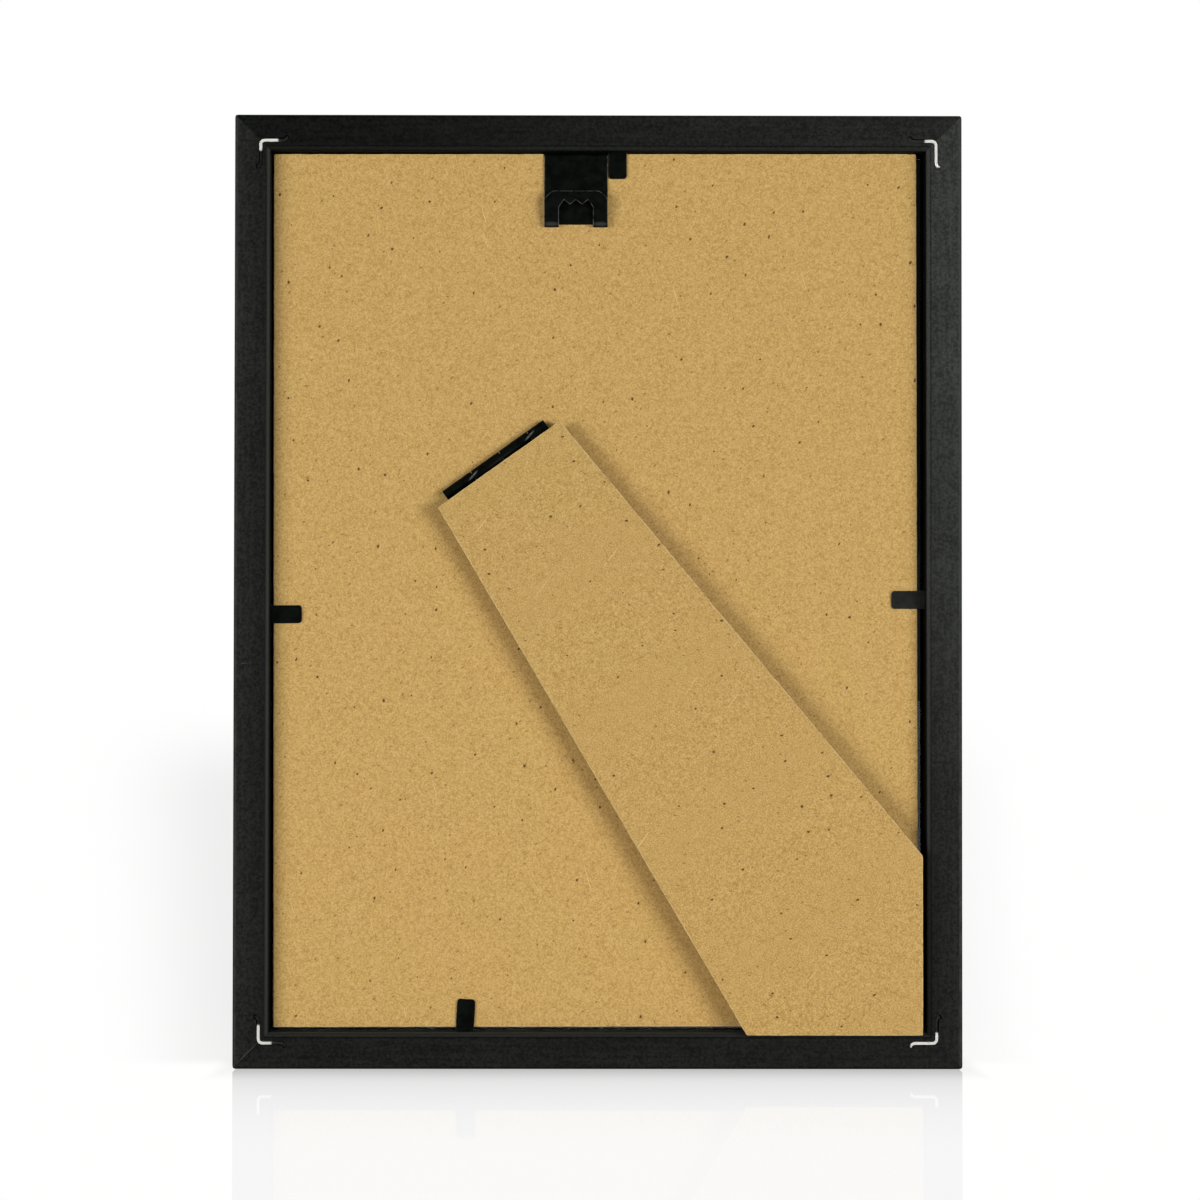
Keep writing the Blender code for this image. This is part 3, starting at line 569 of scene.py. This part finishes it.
wrapFinishes = {
    "wrapTop": {"turn": 0, "hazeAndSheen": (-0.01, -0.02), "drift": 0.21, "outer": 0.0, "inner": 0.15,
                "wall": "deep"},
    "wrapBottom": {"turn": 0, "hazeAndSheen": (0.12, 0.09), "drift": 0.01, "outer": 0.0, "inner": 0.40,
                   "wall": "hazeAndSheen", "marks": [mitreLine]},
    "wrapLeft": {"turn": 90, "hazeAndSheen": (0.19, 0.10), "drift": 0.41, "outer": 1.0, "inner": 0.40,
                 "wall": "deep"},
    "wrapRight": {"turn": 90, "hazeAndSheen": (0.21, 0.10), "drift": 0.02, "outer": 0.6, "inner": 0.48,
                  "wall": "deep", "marks": [railScratch, mitreLine]},
}
fibreFinishes = {
    "panelFibre": {"tint": (1.0, 0.990, 0.980, 1), "depth": 1.0, "turn": 0, "shift": (0, 0, 0)},
    "legFibre": {"tint": (0.948, 0.940, 0.932, 1), "depth": 1.18, "turn": 52, "shift": (0.37, 0.0, 0.21)},
}
steelFinishes = {
    "clipSteel": {"wear": 1.0, "marks": foldHighlights},
    "tabSteel": {"wear": 0.5},
    "tabSteelHazy": {"wear": 0.5, "hazeAndSheen": 0.55},
    "hingeSteel": {"wear": 0.35, "marks": hingeHighlights},
}
makers = ((wrapMaterial, wrapFinishes), (fibreMaterial, fibreFinishes), (steelMaterial, steelFinishes))
finishes = {}
for maker, kinds in makers:
    for finish, choices in kinds.items():
        finishes[finish] = maker(finish, **choices)
finishes["bareZinc"] = zincMaterial("bareZinc", zincLook)
finishes["clearGlass"] = glassMaterial("clearGlass", glassLook)
finishes["insertPaper"] = paperMaterial("insertPaper", paperLook)
print("finishes:", ", ".join(finishes))


# Mesh helpers

meshRules = {"merge": 1e-6, "flat": 0.4, "sharp": 32.0, "smooth": 38.0}
rightward = Vector((1, 0, 0))
backward = Vector((0, 1, 0))
upward = Vector((0, 0, 1))


def copyOfNode(nodeName):
    bm = bmesh.new()
    bm.from_mesh(nodes[nodeName].data)
    bmesh.ops.remove_doubles(bm, verts=bm.verts, dist=meshRules["merge"])
    flat = math.radians(meshRules["flat"])
    bmesh.ops.dissolve_limit(bm, angle_limit=flat, verts=bm.verts, edges=bm.edges)
    return bm


def softenEdges(bm, width, segments, skipped=()):
    edgeMask = bm.faces.layers.float.new("edge")
    least = math.radians(meshRules["sharp"])
    sharp = [edge for edge in bm.edges if edge.is_manifold and edge.calc_face_angle() > least]
    sharp = [edge for edge in sharp if not any(face in skipped for face in edge.link_faces)]
    made = bmesh.ops.bevel(bm, geom=sharp, offset=width, offset_type="OFFSET", affect="EDGES",
                           segments=segments, profile=0.5, material=-1, clamp_overlap=False)
    for face in made["faces"]:
        face[edgeMask] = 1.0


def cutAcross(bm, direction, distance):
    everything = bm.verts[:] + bm.edges[:] + bm.faces[:]
    bmesh.ops.bisect_plane(bm, geom=everything, plane_co=direction * distance, plane_no=direction)


def makePiece(name, bm, finish, replaced, body=None):
    mesh = bpy.data.meshes.new(name)
    for face in bm.faces:
        face.smooth = not face.tag  # tagged faces are the broad flat ones
    bm.to_mesh(mesh)
    bm.free()
    mesh.materials.append(finishes[finish])
    mesh.set_sharp_from_angle(angle=math.radians(meshRules["smooth"]))
    piece = bpy.data.objects.new(name, mesh)
    bpy.context.scene.collection.objects.link(piece)
    evenNormals = piece.modifiers.new("evenNormals", "WEIGHTED_NORMAL")
    evenNormals.keep_sharp = True
    if body:
        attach(piece, body)
    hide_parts(*replaced)
    return piece


# Rails

rail = {"edge": 0.00008, "segments": 2, "mitre": 0.6, "close": 0.00007}
outwards = {"top": upward, "bottom": -upward, "left": -rightward, "right": rightward}
for side in sides:
    nodeName = "rail_" + side
    railMesh = copyOfNode(nodeName)
    mitres = {face for face in railMesh.faces if min(abs(face.normal.x), abs(face.normal.z)) > rail["mitre"]}
    along = rightward if side in ("top", "bottom") else upward
    middle = sum(along.dot(corner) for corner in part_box(nodeName)) / 2
    # the glued mitre shows no light through it
    for vert in {vert for face in mitres for vert in face.verts}:
        vert.co += along * math.copysign(rail["close"], along.dot(vert.co) - middle)
    softenEdges(railMesh, rail["edge"], rail["segments"], mitres)
    outward = outwards[side]
    outerFace = max(outward.dot(corner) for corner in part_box(nodeName))
    acrossMask = railMesh.verts.layers.float.new("across")
    for vert in railMesh.verts:
        vert[acrossMask] = outerFace - outward.dot(vert.co)
    finish = "wrap" + side.capitalize()
    makePiece(side + "_moulding", railMesh, finish, [nodeName], "frame")
print("rails done")


# Corner nails

nail = {
    "edge": 0.00008, "segments": 2, "fade": 0.0005, "sunkEnd": 0.0006, "top": 0.001,
    "bare": {  # how far the bright metal shows along the bottom or top rail, and along the side rail
        "top_left": (0.0043, 0.0085), "top_right": (0.0060, 0.0041),
        "bottom_left": (0.0085, 0.0042), "bottom_right": (0.0048, 0.0062),
    },
}
for corner, (bareAcross, bareUp) in nail["bare"].items():
    nodeName = "corner_nail_" + corner
    nailMesh = copyOfNode(nodeName)
    softenEdges(nailMesh, nail["edge"], nail["segments"])
    low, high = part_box(nodeName)
    apexX = low.x if "left" in corner else high.x
    apexZ = high.z if "top" in corner else low.z
    acrossEnd = apexX + (bareAcross if "left" in corner else -bareAcross)
    upEnd = apexZ + (-bareUp if "top" in corner else bareUp)
    for past in (-nail["fade"] / 2, nail["fade"] / 2):
        cutAcross(nailMesh, rightward, acrossEnd + past)
        cutAcross(nailMesh, upward, upEnd + past)
    bareMask = nailMesh.verts.layers.float.new("bare")
    for vert in nailMesh.verts:
        past = max(abs(vert.co.x - apexX) - bareAcross, abs(vert.co.z - apexZ) - bareUp)
        vert[bareMask] = min(1.0, max(0.0, 0.5 - past / nail["fade"]))
        if vert.co.y > high.y - nail["top"]:
            vert.co.y -= nail["sunkEnd"] * (1 - vert[bareMask])
    makePiece(corner + "_nail", nailMesh, "bareZinc", [nodeName], "frame")
print("corner nails done")


# Backing panel and easel leg: sawn edges are slightly ragged

sheet = {"step": 0.003, "chamfer": 0.0006, "level": 0.99, "ragged": 0.00007, "rough": 520.0}


def sliceAcross(bm, direction, first, last, step):
    for number in range(1, int((last - first) / step) + 1):
        cutAcross(bm, direction, first + number * step)


def sawnSheet(nodeName):
    bm = copyOfNode(nodeName)
    edgeMask = bm.faces.layers.float.new("edge")
    broad = max(bm.faces, key=lambda face: face.calc_area()).normal.copy()
    for face in bm.faces:
        longest = max(edge.calc_length() for edge in face.edges)
        if face.calc_area() < longest * sheet["chamfer"]:
            face[edgeMask] = 1.0
    low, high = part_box(nodeName)
    sliceAcross(bm, rightward, low.x, high.x, sheet["step"])
    sliceAcross(bm, upward, low.z, high.z, sheet["step"])
    bm.normal_update()
    for face in bm.faces:
        face.tag = abs(face.normal.dot(broad)) > sheet["level"]
    rimVerts = {vert for face in bm.faces if face[edgeMask] for vert in face.verts}
    for vert in rimVerts:
        sideways = vert.normal - broad * vert.normal.dot(broad)
        vert.co += sideways * sheet["ragged"] * noise.noise(vert.co * sheet["rough"])
    return bm


makePiece("back_panel", sawnSheet("backing_board"), "panelFibre", ["backing_board"], "frame")
makePiece("leg_strut", sawnSheet("easel_leg"), "legFibre", ["easel_leg"], "leg")
print("panel and leg done")


# Hanger clip

clip = {"edge": 0.00017, "segments": 2}
clipMesh = copyOfNode("hanger_clip")
softenEdges(clipMesh, clip["edge"], clip["segments"])
makePiece("toothed_hanger", clipMesh, "clipSteel", ["hanger_clip"], "frame")
print("hanger done")


# Retaining tabs: one strip each, driven into the rail and bent across its joint

tab = {
    "width": 0.0050, "sheet": 0.00045, "edge": 0.00010, "segments": 2,
    "corner": 0.0010, "cornerSegments": 5, "point": 0.0016, "pointSegments": 1,
    "bendReach": 0.0008, "bendCuts": 8, "kink": 0.00008,
    "finish": {"top": "tabSteel", "bottom": "tabSteel", "left": "tabSteelHazy", "right": "tabSteel"},
}


def tabStrip(pivot, inward, axis, driven, reach):
    bm = bmesh.new()
    bmesh.ops.create_grid(bm, x_segments=1, y_segments=1, size=0.5)
    bmesh.ops.scale(bm, vec=(driven + reach, tab["width"], 1), verts=bm.verts)
    bmesh.ops.translate(bm, vec=((reach - driven) / 2, 0, 0), verts=bm.verts)
    tip = [vert for vert in bm.verts if vert.co.x > 0]
    butt = [vert for vert in bm.verts if vert.co.x < 0]
    for corners, name in ((tip, "corner"), (butt, "point")):
        bmesh.ops.bevel(bm, geom=corners, offset=tab[name], affect="VERTICES",
                        segments=tab[name + "Segments"], profile=0.5, material=-1)
    for step in range(tab["bendCuts"] + 1):
        cutAcross(bm, rightward, tab["bendReach"] * (2 * step / tab["bendCuts"] - 1))
    raised = bmesh.ops.extrude_face_region(bm, geom=bm.faces[:])["geom"]
    topVerts = [item for item in raised if isinstance(item, bmesh.types.BMVert)]
    bmesh.ops.translate(bm, vec=(0, 0, tab["sheet"]), verts=topVerts)
    bmesh.ops.translate(bm, vec=(0, 0, -tab["sheet"] / 2), verts=bm.verts)
    bmesh.ops.recalc_face_normals(bm, faces=bm.faces)
    softenEdges(bm, tab["edge"], tab["segments"])
    for vert in bm.verts:
        lift = min(1.0, max(0.0, 0.5 - vert.co.x / (2 * tab["bendReach"])))
        vert.co.z += tab["kink"] * lift * lift * (3 - 2 * lift)  # eases in and out
    turn = Matrix((inward, -axis, inward.cross(-axis))).transposed().to_4x4()
    bmesh.ops.transform(bm, matrix=Matrix.Translation(pivot) @ turn, verts=bm.verts)
    return bm


for side in sides:
    joint = joints["tab_" + side + "_bend"]
    pivot = Vector(joint["pos_m"])
    axis = Vector(joint["axis"]).normalized()
    inward = backward.cross(axis)
    anchorRun = [(vert.co - pivot).dot(inward) for vert in nodes["tab_anchor_" + side].data.vertices]
    bladeRun = [(vert.co - pivot).dot(inward) for vert in nodes["tab_blade_" + side].data.vertices]
    strip = tabStrip(pivot, inward, axis, -min(anchorRun), max(bladeRun))
    replaced = ["tab_anchor_" + side, "tab_blade_" + side]
    piece = makePiece(side + "_tab", strip, tab["finish"][side], replaced)
    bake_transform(piece)
print("tabs done")


# Strip hinge

hinge = {
    "edge": 0.00006, "segments": 2,
    "pieces": {"panel_leaf": ("hinge_board_leaf", "frame"), "leg_leaf": ("hinge_leg_leaf", "leg"),
               "knuckle_pin": ("hinge_pin", "frame")},
}
for pieceName, (nodeName, body) in hinge["pieces"].items():
    hingeMesh = copyOfNode(nodeName)
    softenEdges(hingeMesh, hinge["edge"], hinge["segments"])
    makePiece(pieceName, hingeMesh, "hingeSteel", [nodeName], body)
print("hinge done")


# Glass and insert keep their solids

for nodeName, finish in (("glass_pane", "clearGlass"), ("insert_sheet", "insertPaper")):
    nodes[nodeName].data.materials.clear()
    nodes[nodeName].data.materials.append(finishes[finish])
print("glass and insert done")


# Stage: white floor with a faint mirror image and a soft shade past the frame, white surroundings,
# two softboxes and a small glow on the camera's side, a fill in front of the frame

stage = {
    "floorSize": 60.0, "floorLevel": -0.0002, "paintCloud": (3.0, 2.0, 0.5),
    "paint": (0.76, 0.76, 0.755, 1), "palerPaint": (0.79, 0.79, 0.785, 1),
    "sheen": (1, 1, 0.97, 1), "sheenRough": 0.03, "besideFade": 6.0, "glowNear": 0.80, "glowFade": 0.04,
    "mirrorNear": 0.34, "mirrorFar": 0.075, "mirrorFade": 0.0176, "mirrorStart": 0.04,
    "shadeSpread": 1.1, "shadeStart": 0.03, "shadeGone": (0.035, 0.30), "shadePower": 2.0,
    "shadeLeft": (0.150, 0.096, 0.155), "shadeRight": (-0.125, -0.098, 0.07),  # end, full, how dark
    "dim": 0.022, "mirrorLeft": 0.02, "mirrorRight": 0.05,
    "roomEnds": (0.35, -0.35), "behindEnds": (-0.3, 0.5),
}


def floorShade(tree, spot):
    past = combine(tree, "MAXIMUM", times(tree, spot["Y"], -1.0), 0.0)  # how far past the frame
    spread = combine(tree, "ADD", combine(tree, "DIVIDE", past, stage["shadeSpread"]), 1.0)
    narrow = combine(tree, "DIVIDE", 1.0, spread)
    sideways = times(tree, spot["X"], narrow)  # the shade widens with distance
    leftEnd, leftFull, leftShade = stage["shadeLeft"]
    rightEnd, rightFull, rightShade = stage["shadeRight"]
    shade = combine(tree, "POWER", stepUp(tree, sideways, leftEnd, leftFull), stage["shadePower"])
    shade = times(tree, shade, stepUp(tree, sideways, rightEnd, rightFull))
    shade = times(tree, shade, stepUp(tree, sideways, rightFull, leftFull, rightShade, leftShade))
    shade = times(tree, shade, stepUp(tree, past, 0.0, stage["shadeStart"]))
    return times(tree, shade, stepUp(tree, narrow, *stage["shadeGone"]))


def floorMaterial():
    material = bpy.data.materials.new("floorWhite")
    material.use_nodes = True
    tree = material.node_tree
    tree.nodes.clear()
    vector = objectCoords(tree)
    paint = mixColour(tree, cloud(tree, vector, *stage["paintCloud"]), stage["paint"], stage["palerPaint"])
    matt = addNode(tree, "ShaderNodeBsdfDiffuse", {"Color": paint})
    sheen = addNode(tree, "ShaderNodeBsdfGlossy", {"Color": stage["sheen"], "Roughness": stage["sheenRough"]})
    spot = separate(tree, vector)
    beside = combine(tree, "SUBTRACT", combine(tree, "ABSOLUTE", spot["X"]), cadHigh[0])
    beside = times(tree, beside, stage["besideFade"])
    away = combine(tree, "MAXIMUM", beside, combine(tree, "ABSOLUTE", spot["Y"]))  # from the frame's foot
    # less glow near the frame's foot paints a contact shade there
    share = stepUp(tree, away, 0.0, stage["glowFade"], stage["glowNear"], 1.0)
    white = mixColour(tree, floorShade(tree, spot), (1, 1, 1, 1), (0, 0, 0, 1))
    glow = addNode(tree, "ShaderNodeEmission", {"Color": white, "Strength": 1.0})
    seen = addNode(tree, "ShaderNodeLightPath").outputs
    shown = combine(tree, "MAXIMUM", seen["Is Camera Ray"], seen["Is Transmission Ray"])
    sockets = {0: times(tree, shown, share), 1: matt.outputs[0], 2: glow.outputs[0]}
    lit = addNode(tree, "ShaderNodeMixShader", sockets)
    mirror = combine(tree, "DIVIDE", stage["mirrorFade"], combine(tree, "ADD", away, stage["mirrorStart"]))
    mirror = combine(tree, "MAXIMUM", mirror, stage["mirrorFar"])
    mirror = combine(tree, "MINIMUM", mirror, stage["mirrorNear"])
    glossed = addNode(tree, "ShaderNodeMixShader", {0: mirror, 1: lit.outputs[0], 2: sheen.outputs[0]})
    addNode(tree, "ShaderNodeOutputMaterial", {"Surface": glossed.outputs[0]})
    return material


floorMesh = bpy.data.meshes.new("floor")
floorShape = bmesh.new()
bmesh.ops.create_grid(floorShape, x_segments=1, y_segments=1, size=stage["floorSize"] / 2)
bmesh.ops.translate(floorShape, vec=(0, 0, stage["floorLevel"]), verts=floorShape.verts)
floorShape.to_mesh(floorMesh)
floorShape.free()
floorMesh.materials.append(floorMaterial())
floor = bpy.data.objects.new("floor", floorMesh)
bpy.context.scene.collection.objects.link(floor)

world = bpy.data.worlds.new("studio")
world.use_nodes = True
bpy.context.scene.world = world
worldTree = world.node_tree
backdrop = worldTree.nodes["Background"]
rays = addNode(worldTree, "ShaderNodeLightPath").outputs
towards = separate(worldTree, addNode(worldTree, "ShaderNodeTexCoord").outputs["Generated"])
room = stepUp(worldTree, towards["X"], *stage["roomEnds"], stage["mirrorLeft"], stage["mirrorRight"])
behind = stepUp(worldTree, towards["Y"], *stage["behindEnds"], 1.0, 0.0)  # 1 past the frame
mirrored = combine(worldTree, "MAXIMUM", behind, room)
through = times(worldTree, rays["Is Transmission Ray"], behind)
plain = combine(worldTree, "MAXIMUM", rays["Is Camera Ray"], through)
sockets = {0: rays["Is Glossy Ray"], 2: stage["dim"], 3: mirrored}
level = addNode(worldTree, "ShaderNodeMix", sockets).outputs[0]
level = addNode(worldTree, "ShaderNodeMix", {0: plain, 2: level, 3: 1.0}).outputs[0]
backdrop.inputs["Color"].default_value = (1, 1, 1, 1)
worldTree.links.new(level, backdrop.inputs["Strength"])

lamps = {
    "softboxRight": {"place": (-1.05, 1.25, 0.16), "size": (0.9, 0.3), "power": 16.6, "inGloss": True},
    "softboxLeft": {"place": (1.10, 1.16, 0.16), "size": (0.9, 0.3), "power": 13.2, "inGloss": True},
    "tableGlow": {"place": (0.0, 0.33, 0.012), "size": (0.35, 0.30), "power": 0.04, "inGloss": False},
    "frontFill": {"place": (0.25, -1.50, 0.55), "size": (0.8, 0.8), "power": 15.0, "inGloss": False},
}
lampAim = Vector((0, 0, 0.12))
for name, lamp in lamps.items():
    light = bpy.data.lights.new(name, "AREA")
    light.shape = "RECTANGLE"
    light.size, light.size_y = lamp["size"]
    light.energy = lamp["power"]
    lampObject = bpy.data.objects.new(name, light)
    lampObject.location = lamp["place"]
    lampObject.rotation_euler = (lampAim - lampObject.location).to_track_quat("-Z", "Y").to_euler()
    lampObject.visible_camera = False
    lampObject.visible_glossy = lamp["inGloss"]
    bpy.context.scene.collection.objects.link(lampObject)
print("stage done")


# Camera behind the frame, as in the photograph

viewpoint = {"place": (0.0061, 1.0983, 0.1045), "turn": (91.259, -0.060, 179.651),
             "lens": 119.34, "sensor": 36.0}
camera = bpy.data.objects.new("camera", bpy.data.cameras.new("camera"))
camera.data.lens = viewpoint["lens"]
camera.data.sensor_width = viewpoint["sensor"]
camera.location = viewpoint["place"]
camera.rotation_euler = [math.radians(angle) for angle in viewpoint["turn"]]
bpy.context.scene.collection.objects.link(camera)
bpy.context.scene.camera = camera
bpy.context.scene.view_settings.view_transform = "Standard"
print("camera done")
